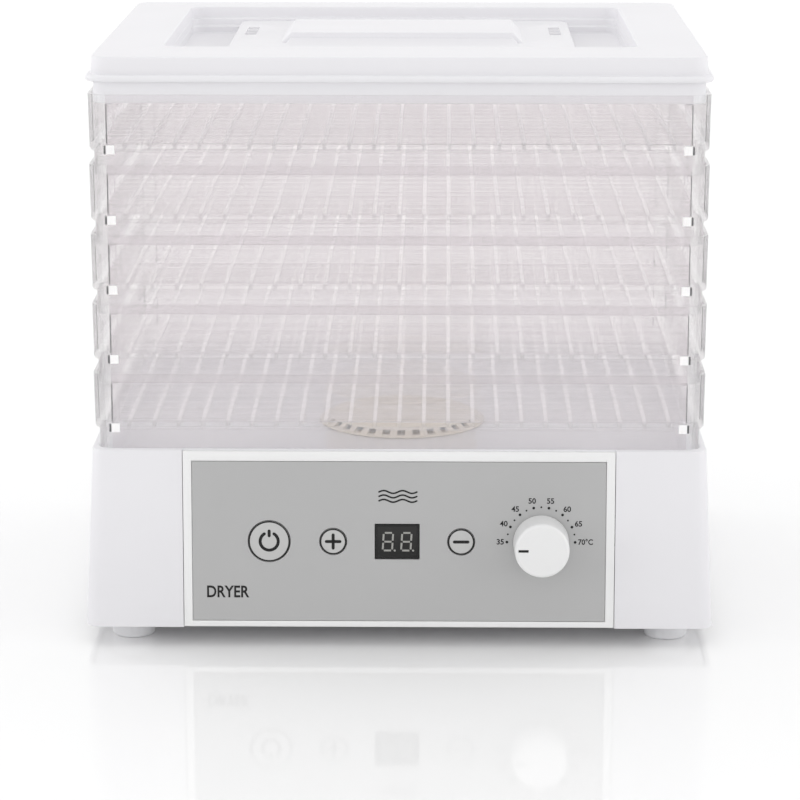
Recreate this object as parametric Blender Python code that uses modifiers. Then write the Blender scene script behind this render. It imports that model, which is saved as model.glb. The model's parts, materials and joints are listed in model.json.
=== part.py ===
"""Food dehydrator: a base with heater, fan and controls, five clear stacking trays and a lid.

Metres, +Z up. X runs left to right and the controls face -Y. The origin is the bottom centre of the
whole object, on the surface that the feet stand on.
"""

import math

import bmesh
import bpy

# Trays
TRAY_W = 0.324
TRAY_D = 0.276
TRAY_WALL_H = 0.0301
TRAY_DRAFT = 0.0013
TRAY_THICK = 0.002
TRAY_CORNER = 0.010
TRAY_COUNT = 5
SKIRT_H = 0.012
SKIRT_INSET = 0.0029
SKIRT_NEST = 0.005
FLOOR_H = 0.0045
SLOT_PITCH_X = 0.026
SLOT_COLUMNS = 11
SLOT_PITCH_Y = 0.063
SLOT_ROWS = 4
SLOT_RIB = 0.003
PITCH = TRAY_WALL_H + SKIRT_H - SKIRT_NEST

# Base
BASE_BOTTOM = 0.0106
BASE_TOP = 0.1072
BASE_TOP_SIZE = (0.326, 0.280)
BASE_BOTTOM_SIZE = (0.3352, 0.2892)
BASE_WALL = 0.003
BASE_CORNER = 0.008
SEAT_DEPTH = 0.0022
BASIN_DEPTH = 0.017
DECK_THICK = 0.0025
RIM_WIDTH = 0.0068
OUTLET_R = 0.043
COVER_THICK = 0.0025
GAP = 0.0003

# Lid
LID_TOP = 0.3152
LID_THICK = 0.0022
LID_SIZE = (0.316, 0.268)
LID_FLARE = 0.0013
BEAD_H = 0.0035
BEAD_SIZE = (0.326, 0.278)
RECESS_X = 0.126
RECESS_FRONT = 0.049
RECESS_BACK = 0.241
RECESS_FLOOR = 0.300
PLATEAU_Z = 0.308
PLATEAU_FRONT = 0.062
PLATEAU_BACK = 0.238
PLATEAU_LOW_W = 0.197
PLATEAU_HIGH_W = 0.190
BAR_TOP = 0.3136
BAR_FRONT = 0.127
BAR_BACK = 0.193
BAR_LOW_W = 0.136
BAR_HIGH_W = 0.124
APRON_LOW = (0.129, 0.024)
APRON_HIGH = (0.124, 0.003)
APRON_DROP = 0.003
VENT_X = 0.0866
VENT_W = 0.0065
VENT_FRONT = 0.165
VENT_BACK = 0.203

# Controls, on the tilted front of the base
PANEL_Z = 0.058
BEZEL_W = 0.229
BEZEL_LOW = -0.0466
BEZEL_HIGH = 0.0488
BEZEL_THICK = 0.003
PROUD = 0.0003
OVERLAY_SIZE = (0.2194, 0.0865)
OVERLAY_THICK = 0.0008
CONTROL_X = -0.0009
CONTROL_PITCH = 0.034
KNOB_X = 0.0755
KNOB_R = 0.0144
KNOB_LENGTH = 0.0215
POWER_R = 0.0110
KEY_R = 0.0070
KEY_GAP = 0.0004
SHAFT_R = 0.003
BOARD_Y = 0.0125

# Feet and the cord's gland
FOOT_R = 0.0115
FOOT_X = 0.144
FOOT_Y = 0.1195
SCREW_R = 0.002
GLAND_Z = 0.030
GLAND_X = 0.110
GLAND_REACH = 0.004

# Fan and heater
DUCT_R = 0.046
FAN_R = 0.040
MOTOR_R = 0.018
MOTOR_TOP = 0.042
FAN_BLADES = 9

TILT = math.atan((BASE_BOTTOM_SIZE[1] - BASE_TOP_SIZE[1]) / 2 / (BASE_TOP - BASE_BOTTOM))


def half_depth(z):
    """Distance from the body's centre to the base's front or back at a height."""
    return BASE_TOP_SIZE[1] / 2 + (BASE_TOP - z) * math.tan(TILT)


FRONT_REACH = half_depth(PANEL_Z) + KNOB_LENGTH * math.cos(TILT) + KNOB_R * math.sin(TILT)
BACK_REACH = half_depth(GLAND_Z) + GLAND_REACH
BODY_Y = (FRONT_REACH - BACK_REACH) / 2
TRAY_FRONT = BODY_Y - TRAY_D / 2
DECK_Z = BASE_TOP - BASIN_DEPTH
SEAT_Z = BASE_TOP - SEAT_DEPTH


def tray_z(level):
    """Height of a tray's wall bottom; level 0 is the tray on the base."""
    return SEAT_Z + GAP + SKIRT_H + level * PITCH


LID_RIM = tray_z(TRAY_COUNT - 1) + TRAY_WALL_H + SKIRT_H - SKIRT_NEST

for old in list(bpy.data.objects):
    bpy.data.objects.remove(old, do_unlink=True)

parts = bpy.data.collections.new("food_dehydrator")
cutters = bpy.data.collections.new("cutters")
bpy.context.scene.collection.children.link(parts)
bpy.context.scene.collection.children.link(cutters)


def plastic(name, colour, roughness=0.4, metallic=0.0, alpha=1.0):
    made = bpy.data.materials.new(name)
    made.use_nodes = True
    shader = made.node_tree.nodes["Principled BSDF"]
    shader.inputs["Base Color"].default_value = (*colour, 1.0)
    shader.inputs["Roughness"].default_value = roughness
    shader.inputs["Metallic"].default_value = metallic
    shader.inputs["Alpha"].default_value = alpha
    return made


WHITE = plastic("white_abs", (0.86, 0.86, 0.88), 0.35)
CLEAR = plastic("clear_polystyrene", (0.85, 0.87, 0.88), 0.08, alpha=0.35)
GREY = plastic("grey_print", (0.45, 0.45, 0.45), 0.45)
KNOB_WHITE = plastic("knob_white", (0.78, 0.78, 0.79), 0.4)
BLACK = plastic("black_abs", (0.02, 0.02, 0.02), 0.4)
SMOKE = plastic("smoked_window", (0.05, 0.05, 0.045), 0.15)
BEIGE = plastic("beige_nylon", (0.66, 0.60, 0.50), 0.5)
BOARD = plastic("circuit_board", (0.03, 0.16, 0.07), 0.5)
STEEL = plastic("zinc_steel", (0.6, 0.6, 0.6), 0.3, 1.0)
MICA = plastic("mica", (0.55, 0.42, 0.24), 0.6)
RUBBER = plastic("foot_rubber", (0.75, 0.75, 0.76), 0.7)
WIRE = plastic("heating_wire", (0.35, 0.33, 0.3), 0.4, 1.0)


def add(name, mesh, material, place=(0, 0, 0)):
    made = bpy.data.objects.new(name, mesh)
    mesh.materials.clear()
    mesh.materials.append(material)
    made.location = place
    parts.objects.link(made)
    return made


def as_cutter(tool):
    parts.objects.unlink(tool)
    cutters.objects.link(tool)
    tool.hide_render = True
    tool.display_type = "WIRE"
    return tool


def boolean(target, tool, operation):
    if tool.name in parts.objects:
        as_cutter(tool)
    step = target.modifiers.new(operation.lower(), "BOOLEAN")
    step.operation = operation
    step.object = tool
    return target


def cut(target, *tools):
    for tool in tools:
        boolean(target, tool, "DIFFERENCE")
    return target


def join(target, *tools):
    for tool in tools:
        boolean(target, tool, "UNION")
    return target


def box(name, low, high, material=WHITE):
    """A plain box between two corners."""
    shape = bmesh.new()
    bmesh.ops.create_cube(shape, size=1.0)
    for v in shape.verts:
        v.co = [low[i] + (v.co[i] + 0.5) * (high[i] - low[i]) for i in range(3)]
    return add(name, finish_mesh(name, shape), material)


def finish_mesh(name, shape):
    mesh = bpy.data.meshes.new(name)
    shape.to_mesh(mesh)
    shape.free()
    return mesh


def block(name, low_size, high_size, low_z, high_z, corner, centre=(0, BODY_Y), steps=3, material=WHITE):
    """A box with rounded upright edges whose top and bottom may differ in size."""
    shape = bmesh.new()
    bmesh.ops.create_cube(shape, size=1.0)
    for v in shape.verts:
        size = high_size if v.co.z > 0 else low_size
        z = high_z if v.co.z > 0 else low_z
        v.co = (centre[0] + v.co.x * size[0], centre[1] + v.co.y * size[1], z)
    if corner:
        upright = [e for e in shape.edges if abs(e.verts[0].co.z - e.verts[1].co.z) > 1e-6]
        bmesh.ops.bevel(shape, geom=upright, offset=corner, segments=steps, profile=0.5, affect="EDGES")
    return add(name, finish_mesh(name, shape), material)


def cylinder(name, radius, low_z, high_z, centre=(0, 0), sides=32, material=WHITE, top_radius=None):
    shape = bmesh.new()
    bmesh.ops.create_cone(
        shape,
        cap_ends=True,
        segments=sides,
        radius1=radius,
        radius2=radius if top_radius is None else top_radius,
        depth=high_z - low_z,
    )
    mesh = finish_mesh(name, shape)
    mesh.shade_smooth()
    mesh.set_sharp_from_angle(angle=math.radians(35))
    return add(name, mesh, material, (centre[0], centre[1], (low_z + high_z) / 2))


def turned(name, profile, material, place=(0, 0, 0), steps=36):
    """A profile of (radius, height) points, outer side running down, turned about Z."""
    mesh = bpy.data.meshes.new(name)
    points = [(r, 0.0, z) for r, z in profile]
    links = [(i, i + 1) for i in range(len(points) - 1)]
    if profile[0][0] > 0:
        links.append((len(points) - 1, 0))
    mesh.from_pydata(points, links, [])
    made = add(name, mesh, material, place)
    screw = made.modifiers.new("turn", "SCREW")
    screw.steps = steps
    screw.render_steps = steps
    screw.use_merge_vertices = True
    screw.merge_threshold = 0.00001
    screw.use_smooth_shade = False
    return made


def apply_modifiers(made):
    """Swap an object's mesh for the result of its modifiers."""
    bpy.context.view_layer.update()
    graph = bpy.context.evaluated_depsgraph_get()
    mesh = bpy.data.meshes.new_from_object(made.evaluated_get(graph))
    made.modifiers.clear()
    made.data = mesh
    return made


def grow(size, amount):
    return (size[0] + amount, size[1] + amount)


# Trays ----------------------------------------------------------------------------------------------


def tray_slots():
    """One cutter holding every slot of the tray's floor."""
    shape = bmesh.new()
    for column in range(SLOT_COLUMNS):
        for row in range(SLOT_ROWS):
            x = (column - (SLOT_COLUMNS - 1) / 2) * SLOT_PITCH_X
            y = (row - (SLOT_ROWS - 1) / 2) * SLOT_PITCH_Y
            corners = bmesh.ops.create_cube(shape, size=1.0)["verts"]
            for v in corners:
                v.co.x = x + v.co.x * (SLOT_PITCH_X - SLOT_RIB)
                v.co.y = y + v.co.y * (SLOT_PITCH_Y - SLOT_RIB)
                v.co.z = FLOOR_H / 2 + v.co.z * FLOOR_H * 2
    return add("tray_slots", finish_mesh("tray_slots", shape), CLEAR)


def tray_post(name, side, end):
    """The upright in a corner that the skirt of the tray above stands on."""
    x = side * (TRAY_W / 2 - 0.011)
    y = end * (TRAY_D / 2 - 0.0045)
    top = TRAY_WALL_H - SKIRT_NEST - GAP
    return box(name, (x - 0.0025, y - 0.0025, 0.001), (x + 0.0025, y + 0.0025, top))


def build_trays():
    top = (TRAY_W, TRAY_D)
    bottom = grow(top, -2 * TRAY_DRAFT)
    skirt = grow(top, -2 * SKIRT_INSET)
    wall = -2 * TRAY_THICK
    middle = (0, 0)
    first = block("tray_5", bottom, top, 0, TRAY_WALL_H, TRAY_CORNER, middle, material=CLEAR)
    join(first, block("tray_skirt", skirt, skirt, -SKIRT_H, FLOOR_H / 2, 0.0075, middle))
    inside_low, inside_high = grow(bottom, wall), grow(top, wall)
    cut(first, block("tray_inside", inside_low, inside_high, FLOOR_H, TRAY_WALL_H + 0.001, 0.008, middle))
    under = grow(skirt, wall)
    cut(first, block("tray_under", under, under, -SKIRT_H - 0.001, 0, 0.0055, middle))
    cut(first, tray_slots())
    for side in (-1, 1):
        for end in (-1, 1):
            join(first, tray_post("tray_post", side, end))
    apply_modifiers(first)
    for level in range(TRAY_COUNT):
        tray = first if level == 0 else add(f"tray_{TRAY_COUNT - level}", first.data, CLEAR)
        tray.location = (0, BODY_Y, tray_z(level))


# Lid ------------------------------------------------------------------------------------------------


def span(front, back):
    """Depth and middle of a stretch given by distances behind the trays' front."""
    return back - front, TRAY_FRONT + (front + back) / 2


def build_lid():
    flared = grow(LID_SIZE, 2 * LID_FLARE)
    skirt = (TRAY_W - 2 * SKIRT_INSET, TRAY_D - 2 * SKIRT_INSET)
    bead_top = LID_RIM + BEAD_H
    lid = block("lid", flared, LID_SIZE, bead_top - 0.001, LID_TOP, 0.010)
    join(lid, block("lid_bead", BEAD_SIZE, BEAD_SIZE, LID_RIM, bead_top, 0.0105))
    skirt_low = LID_RIM - SKIRT_H + GAP
    join(lid, block("lid_skirt", skirt, skirt, skirt_low, LID_RIM + 0.001, 0.0075))
    inside = grow(skirt, -2 * LID_THICK)
    roof = grow(LID_SIZE, -2 * LID_THICK)
    cut(lid, block("lid_inside", inside, roof, skirt_low - 0.001, LID_TOP - LID_THICK, 0.006))

    depth, middle = span(RECESS_FRONT - LID_THICK, RECESS_BACK + 0.008)
    outside = (2 * (RECESS_X + LID_THICK), depth)
    floor_low = RECESS_FLOOR - LID_THICK
    roof_mid = LID_TOP - LID_THICK / 2
    join(lid, block("lid_basin", outside, outside, floor_low, roof_mid, 0.008, (0, middle)))
    depth, middle = span(RECESS_FRONT, RECESS_BACK)
    recess = (2 * RECESS_X, depth)
    above = LID_TOP + 0.001
    cut(lid, block("lid_recess", recess, recess, RECESS_FLOOR, above, 0.006, (0, middle)))
    for reach, floor in ((0.003, 0.3045), (0.006, 0.3085)):
        depth, middle = span(RECESS_BACK - 0.03, RECESS_BACK + reach)
        step = (2 * RECESS_X, depth)
        cut(lid, block("lid_ledge", step, step, floor, above, 0.006, (0, middle)))

    depth, middle = span(PLATEAU_FRONT, PLATEAU_BACK)
    plateau_low, plateau_high = (PLATEAU_LOW_W, depth + 0.002), (PLATEAU_HIGH_W, depth - 0.002)
    centre = (0, middle)
    join(lid, block("lid_plateau", plateau_low, plateau_high, floor_low + 0.001, PLATEAU_Z, 0.008, centre))
    hollow = grow(plateau_high, -2 * LID_THICK)
    hollow_top = PLATEAU_Z - LID_THICK
    bar_depth, bar_middle = span(BAR_FRONT, BAR_BACK)
    bar_low, bar_high = (BAR_LOW_W, bar_depth + 0.002), (BAR_HIGH_W, bar_depth)
    join(lid, block("lid_bar", bar_low, bar_high, PLATEAU_Z - 0.001, BAR_TOP, 0.002, (0, bar_middle), 1))
    foot_z, lip_z = PLATEAU_Z - 0.0005, BAR_TOP - APRON_DROP
    join(lid, block("lid_apron", APRON_LOW, APRON_HIGH, foot_z, lip_z, 0, (0, TRAY_FRONT + BAR_FRONT)))
    cut(lid, block("lid_plenum", hollow, hollow, floor_low - 0.001, hollow_top, 0.006, centre))
    bar_hollow = grow(bar_high, -2 * LID_THICK)
    bar_roof = BAR_TOP - LID_THICK
    cut(lid, block("lid_bar_hollow", bar_hollow, bar_hollow, floor_low, bar_roof, 0.002, (0, bar_middle), 1))
    for side in (-1, 1):
        depth, middle = span(VENT_FRONT, VENT_BACK)
        x = side * VENT_X
        cut(lid, block("lid_vent", (VENT_W, depth), (VENT_W, depth), 0.29, 0.31, 0, (x, middle)))


# Base -----------------------------------------------------------------------------------------------


def build_housing():
    housing = block("base_housing", BASE_BOTTOM_SIZE, BASE_TOP_SIZE, BASE_BOTTOM, BASE_TOP, BASE_CORNER)
    seat = grow((TRAY_W - 2 * SKIRT_INSET, TRAY_D - 2 * SKIRT_INSET), 0.0008)
    cut(housing, block("seat", seat, seat, SEAT_Z, BASE_TOP + 0.001, 0.0079))
    basin = grow(BASE_TOP_SIZE, -2 * RIM_WIDTH)
    cut(housing, block("basin", grow(basin, -0.004), basin, DECK_Z, SEAT_Z + 0.001, 0.012))
    ceiling = DECK_Z - DECK_THICK
    slope = (ceiling - BASE_BOTTOM) / (BASE_TOP - BASE_BOTTOM)
    low = grow(BASE_BOTTOM_SIZE, -2 * BASE_WALL)
    high = [low[i] - (BASE_BOTTOM_SIZE[i] - BASE_TOP_SIZE[i]) * slope for i in range(2)]
    cut(housing, block("hollow", low, high, BASE_BOTTOM, ceiling, 0.006))
    bpy.data.objects["hollow"].location.z = -0.00001
    for side in (-1, 1):
        for end in (-1, 1):
            spot = (side * FOOT_X, BODY_Y + end * FOOT_Y)
            join(housing, cylinder("boss", 0.005, 0.0145, ceiling + 0.001, spot, 20))
            cut(housing, cylinder("boss_hole", SCREW_R + GAP, 0.012, 0.030, spot, 16))
    cut(housing, cylinder("outlet", OUTLET_R, ceiling - 0.002, DECK_Z + 0.002, (0, BODY_Y), 36))
    wall_y = BODY_Y + half_depth(GLAND_Z)
    gland_hole = cylinder("gland_hole", 0.0058, -0.01, 0.01, sides=20)
    gland_hole.rotation_euler.x = math.radians(90)
    gland_hole.location = (GLAND_X, wall_y, GLAND_Z)
    cut(housing, gland_hole)
    pocket = box("pocket", (-BEZEL_W / 2 - GAP, -0.02, -0.06), (BEZEL_W / 2 + GAP, BEZEL_THICK, 0.06))
    pocket.parent = panel
    cut(housing, pocket)
    return housing


def build_cover():
    inside = grow(BASE_BOTTOM_SIZE, -2 * BASE_WALL - 4 * GAP)
    low = BASE_BOTTOM + 0.0006
    cover = block("bottom_cover", inside, grow(inside, -0.0003), low, low + COVER_THICK, 0.006)
    vents = bmesh.new()
    count = 16
    for i in range(count):
        angle = 2 * math.pi * i / count
        for v in bmesh.ops.create_cube(vents, size=1.0)["verts"]:
            r, t = 0.034 + v.co.x * 0.022, v.co.y * 0.0045
            x = r * math.cos(angle) - t * math.sin(angle)
            y = BODY_Y + r * math.sin(angle) + t * math.cos(angle)
            v.co = (x, y, low + COVER_THICK / 2 + v.co.z * 0.01)
    cut(cover, add("vents", finish_mesh("vents", vents), WHITE))
    for side in (-1, 1):
        for end in (-1, 1):
            spot = (side * FOOT_X, BODY_Y + end * FOOT_Y)
            cut(cover, cylinder("cover_hole", SCREW_R + GAP, low - 0.002, low + 0.005, spot, 16))
    return low


def build_feet(cover_low):
    names = {(-1, -1): "front_left", (1, -1): "front_right", (-1, 1): "rear_left", (1, 1): "rear_right"}
    top = cover_low - GAP
    for (side, end), where in names.items():
        spot = (side * FOOT_X, BODY_Y + end * FOOT_Y, 0)
        foot_profile = [
            (SCREW_R + GAP, top),
            (FOOT_R, top),
            (FOOT_R, 0.0012),
            (FOOT_R - 0.0012, 0),
            (0.0052, 0),
            (0.0046, 0.006),
            (SCREW_R + GAP, 0.006),
        ]
        turned(f"foot_{where}", foot_profile, RUBBER, spot, 28)
        screw_profile = [
            (0, 0.024),
            (SCREW_R, 0.023),
            (SCREW_R, 0.006 - GAP),
            (0.004, 0.006 - GAP),
            (0.004, 0.0042),
            (0.0028, 0.0032),
            (0, 0.0032),
        ]
        turned(f"screw_{where}", screw_profile, STEEL, spot, 16)


def build_gland():
    """The strain relief in the back wall, and the clamp behind it."""
    wall_y = BODY_Y + half_depth(GLAND_Z)
    profile = [
        (0.0036, GLAND_REACH),
        (0.0062, GLAND_REACH),
        (0.0075, 0.0015),
        (0.0075, GAP * 2),
        (0.0052, GAP * 2),
        (0.0052, -0.0042),
        (0.0068, -0.0042),
        (0.0068, -0.0065),
        (0.0036, -0.0065),
    ]
    gland = turned("cord_gland", profile, WHITE, (GLAND_X, wall_y, GLAND_Z), 24)
    gland.rotation_euler.x = math.radians(-90)
    clamp_y = wall_y - 0.026
    low = (GLAND_X - 0.011, clamp_y - 0.004, GLAND_Z - 0.008)
    high = (GLAND_X + 0.011, clamp_y + 0.004, GLAND_Z + 0.006)
    clamp = box("cord_clamp", low, high)
    hole = cylinder("clamp_hole", 0.0034, -0.01, 0.01, sides=16)
    hole.rotation_euler.x = math.radians(90)
    hole.location = (GLAND_X, clamp_y, GLAND_Z)
    cut(clamp, hole)


# Controls -------------------------------------------------------------------------------------------


def on_panel(made):
    made.parent = panel
    return made


def facing(made, x, z=0.0, y=0.0):
    """Turn a piece built about +Z so that it points out of the panel."""
    made.parent = panel
    made.rotation_euler.x = math.radians(90)
    made.location = (x, y, z)
    return made


KEYS = {
    "power": (CONTROL_X - 2 * CONTROL_PITCH, POWER_R),
    "plus": (CONTROL_X - CONTROL_PITCH, KEY_R),
    "minus": (CONTROL_X + CONTROL_PITCH, KEY_R),
}
WINDOW_SIZE = (0.0233, 0.0188)


def panel_box(name, size, near, far, x=0.0, z=0.0, material=WHITE):
    low = (x - size[0] / 2, near, z - size[1] / 2)
    high = (x + size[0] / 2, far, z + size[1] / 2)
    return on_panel(box(name, low, high, material))


def build_panel():
    bezel_mid = (BEZEL_LOW + BEZEL_HIGH) / 2
    bezel_size = (BEZEL_W, BEZEL_HIGH - BEZEL_LOW)
    bezel = panel_box("front_bezel", bezel_size, -PROUD, BEZEL_THICK - PROUD, z=bezel_mid)
    recess_floor = OVERLAY_THICK + 0.0001
    cut(bezel, panel_box("film_recess", grow(OVERLAY_SIZE, 2 * GAP), -0.01, recess_floor))
    film_near = -0.0002
    film_far = film_near + OVERLAY_THICK
    overlay = panel_box("control_overlay", OVERLAY_SIZE, film_near, film_far, material=GREY)
    for x, radius in KEYS.values():
        for plate in (bezel, overlay):
            cut(plate, facing(cylinder("key_hole", radius + KEY_GAP, -0.01, 0.01, sides=28), x))
    for plate in (bezel, overlay):
        cut(plate, facing(cylinder("shaft_hole", SHAFT_R + 0.001, -0.01, 0.01, sides=20), KNOB_X))
        cut(plate, panel_box("window_hole", grow(WINDOW_SIZE, 2 * GAP), -0.01, 0.01, CONTROL_X))
    panel_box("display_window", WINDOW_SIZE, film_near, 0.0016, CONTROL_X, material=SMOKE)
    panel_box("display_module", (0.0200, 0.0150), 0.0030, BOARD_Y - GAP, CONTROL_X, material=BLACK)

    board = panel_box("control_board", (0.186, 0.046), BOARD_Y, BOARD_Y + 0.0016, material=BOARD)
    cut(board, facing(cylinder("bushing_hole", 0.0040, -0.02, 0.02, sides=20), KNOB_X))


def build_keys():
    travel_gap = 0.0009
    switch_near = BOARD_Y - GAP - 0.0045
    for key, (x, radius) in KEYS.items():
        face = 0.0004
        stem_end = -(switch_near - travel_gap)
        flange = -(BEZEL_THICK - PROUD + GAP)
        profile = [
            (0, face),
            (radius - 0.0004, face),
            (radius, face - 0.0004),
            (radius, flange),
            (radius + 0.0012, flange),
            (radius + 0.0012, flange - 0.0012),
            (0.0022, flange - 0.0012),
            (0.0022, stem_end),
            (0, stem_end),
        ]
        facing(turned(f"{key}_button", profile, GREY, steps=28), x)
        panel_box(f"{key}_switch", (0.0062, 0.0062), switch_near, BOARD_Y - GAP, x, material=BLACK)


def build_knob():
    face = KNOB_LENGTH
    socket_end = face - 0.006
    profile = [
        (0, face),
        (KNOB_R - 0.0016, face),
        (KNOB_R - 0.0006, face - 0.0005),
        (KNOB_R - 0.0001, face - 0.0016),
        (KNOB_R + 0.0004, 0.0008),
        (SHAFT_R + GAP, 0.0008),
        (SHAFT_R + GAP, socket_end),
        (0, socket_end),
    ]
    knob = facing(turned("temperature_knob", profile, KNOB_WHITE, steps=32), KNOB_X)
    mark_x = KNOB_X - 0.0098
    slot = panel_box("mark_slot", (0.0058, 0.0016), -face - 0.001, -face + 0.0011, mark_x)
    cut(knob, slot)
    panel_box("knob_mark", (0.0052, 0.0010), -face, -face + 0.0008, mark_x, material=BLACK)

    rear = BOARD_Y + 0.0016 + GAP
    shaft = cylinder("potentiometer_shaft", SHAFT_R, -(rear - GAP), socket_end - GAP, sides=24, material=STEEL)
    shift = shaft.location.z
    facing(shaft, KNOB_X, y=-shift)
    panel_box("potentiometer_body", (0.0165, 0.0165), rear, rear + 0.008, KNOB_X, material=BLACK)
    nut_near = BOARD_Y - GAP
    nut_bore = SHAFT_R + 0.0010
    nut_profile = [
        (nut_bore, -nut_near + 0.0025),
        (0.0065, -nut_near + 0.0025),
        (0.0065, -nut_near),
        (nut_bore, -nut_near),
    ]
    facing(turned("potentiometer_nut", nut_profile, STEEL, steps=6), KNOB_X)


# Fan and heater -------------------------------------------------------------------------------------


def build_grille():
    low = DECK_Z + GAP
    profile = [
        (0, low + 0.0042),
        (0.030, low + 0.0038),
        (OUTLET_R + 0.0015, low + 0.0026),
        (OUTLET_R + 0.0040, low + 0.0010),
        (OUTLET_R + 0.0040, low),
        (0, low),
    ]
    grille = turned("outlet_grille", profile, BEIGE, (0, BODY_Y, 0), 36)
    slots = bmesh.new()
    count = 18
    for i in range(count):
        angle = 2 * math.pi * (i + 0.5) / count
        for v in bmesh.ops.create_cube(slots, size=1.0)["verts"]:
            r, t = 0.028 + v.co.x * 0.026, v.co.y * 0.0042
            x = r * math.cos(angle) - t * math.sin(angle)
            y = BODY_Y + r * math.sin(angle) + t * math.cos(angle)
            v.co = (x, y, low + 0.002 + v.co.z * 0.02)
    cut(grille, add("grille_slots", finish_mesh("grille_slots", slots), BEIGE))


def build_heater():
    centre = (0, BODY_Y)
    top = DECK_Z - DECK_THICK - GAP
    duct_low = 0.045
    duct_profile = [
        (DUCT_R, top),
        (DUCT_R + 0.002, top),
        (DUCT_R + 0.002, duct_low),
        (DUCT_R, duct_low),
    ]
    turned("air_duct", duct_profile, STEEL, (0, BODY_Y, 0), 36)

    reach = DUCT_R - 0.0025
    low, high = 0.068, 0.084
    frame = box("heater_frame", (-reach, BODY_Y - 0.0006, low), (reach, BODY_Y + 0.0006, high), MICA)
    other = box("heater_cross", (-0.0006, BODY_Y - reach, low), (0.0006, BODY_Y + reach, high))
    join(frame, other)
    bpy.ops.mesh.primitive_torus_add(
        location=(0, BODY_Y, (low + high) / 2),
        major_radius=0.033,
        minor_radius=0.0056,
        major_segments=32,
        minor_segments=10,
    )
    ring = bpy.context.object
    ring.name = "coil_path"
    for home in list(ring.users_collection):
        home.objects.unlink(ring)
    parts.objects.link(ring)
    cut(frame, ring)

    turns, per_turn = 13, 6
    spine = bpy.data.curves.new("heater_coil", "CURVE")
    spine.dimensions = "3D"
    wire = spine.splines.new("POLY")
    count = turns * per_turn
    wire.points.add(count)
    for i in range(count + 1):
        share = i / count
        around = math.radians(8) + share * math.radians(344)
        wind = share * turns * 2 * math.pi
        r = 0.033 + 0.0042 * math.cos(wind)
        z = (low + high) / 2 + 0.0042 * math.sin(wind)
        wire.points[i].co = (r * math.cos(around), BODY_Y + r * math.sin(around), z, 1)
    spine.bevel_depth = 0.0006
    spine.bevel_resolution = 0
    spine.use_fill_caps = True
    add("heater_coil", spine, WIRE)
    cylinder("thermal_cutout", 0.004, low + 0.002, low + 0.010, (0.013, BODY_Y + 0.013), 16, STEEL)


def build_fan():
    centre = (0, BODY_Y)
    hub_low, hub_high = 0.0465, 0.063
    hub = cylinder("fan_impeller", 0.011, hub_low, hub_high, centre, 28, BLACK)
    join(hub, cylinder("fan_disc", FAN_R, hub_low, hub_low + 0.0018, centre, 36))
    blades = bmesh.new()
    for i in range(FAN_BLADES):
        angle = 2 * math.pi * i / FAN_BLADES
        for v in bmesh.ops.create_cube(blades, size=1.0)["verts"]:
            r, t = 0.0245 + v.co.x * 0.029, v.co.y * 0.0016
            bend = angle + (r - 0.01) * 9
            x = r * math.cos(bend) - t * math.sin(bend)
            y = BODY_Y + r * math.sin(bend) + t * math.cos(bend)
            v.co = (x, y, hub_low + 0.0009 + (v.co.z + 0.5) * 0.0145)
    join(hub, add("fan_blades", finish_mesh("fan_blades", blades), BLACK))
    cut(hub, cylinder("fan_bore", 0.0019, hub_low - 0.002, 0.060, centre, 16))
    cylinder("motor_shaft", 0.0016, MOTOR_TOP + GAP, 0.0596, centre, 16, STEEL)

    cylinder("fan_motor", MOTOR_R, 0.0150, MOTOR_TOP, centre, 32, STEEL)
    ring_profile = [
        (MOTOR_R + GAP, 0.038),
        (MOTOR_R + 0.0035, 0.038),
        (MOTOR_R + 0.0035, 0.034),
        (MOTOR_R + GAP, 0.034),
    ]
    bracket = turned("motor_bracket", ring_profile, STEEL, (0, BODY_Y, 0), 30)
    arms = bmesh.new()
    for i in range(3):
        angle = 2 * math.pi * (i + 0.25) / 3
        for v in bmesh.ops.create_cube(arms, size=1.0)["verts"]:
            r, t = 0.0355 + v.co.x * 0.031, v.co.y * 0.008
            x = r * math.cos(angle) - t * math.sin(angle)
            y = BODY_Y + r * math.sin(angle) + t * math.cos(angle)
            v.co = (x, y, 0.036 + v.co.z * 0.002)
    join(bracket, add("bracket_arms", finish_mesh("bracket_arms", arms), STEEL))


def build_electrics():
    low = BASE_BOTTOM + 0.0006 + COVER_THICK + 0.004
    left, front = 0.066, BODY_Y - 0.010
    box("power_board", (left, front, low), (left + 0.060, front + 0.085, low + 0.0016), BOARD)
    top = low + 0.0016 + GAP
    box("relay", (left + 0.008, front + 0.010, top), (left + 0.023, front + 0.029, top + 0.015), BLACK)
    cylinder("capacitor", 0.006, top, top + 0.016, (left + 0.042, front + 0.022), 24, SMOKE)
    box("fuse", (left + 0.010, front + 0.055, top), (left + 0.016, front + 0.077, top + 0.006), BEIGE)


panel = bpy.data.objects.new("panel_frame", None)
panel.location = (0, BODY_Y - half_depth(PANEL_Z), PANEL_Z)
panel.rotation_euler.x = -TILT
bpy.context.scene.collection.objects.link(panel)

build_trays()
build_lid()
build_housing()
build_feet(build_cover())
build_gland()
build_panel()
build_keys()
build_knob()
build_grille()
build_heater()
build_fan()
build_electrics()
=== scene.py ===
import json
import math
import bmesh
import bpy
from mathutils import Matrix, Vector


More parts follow.
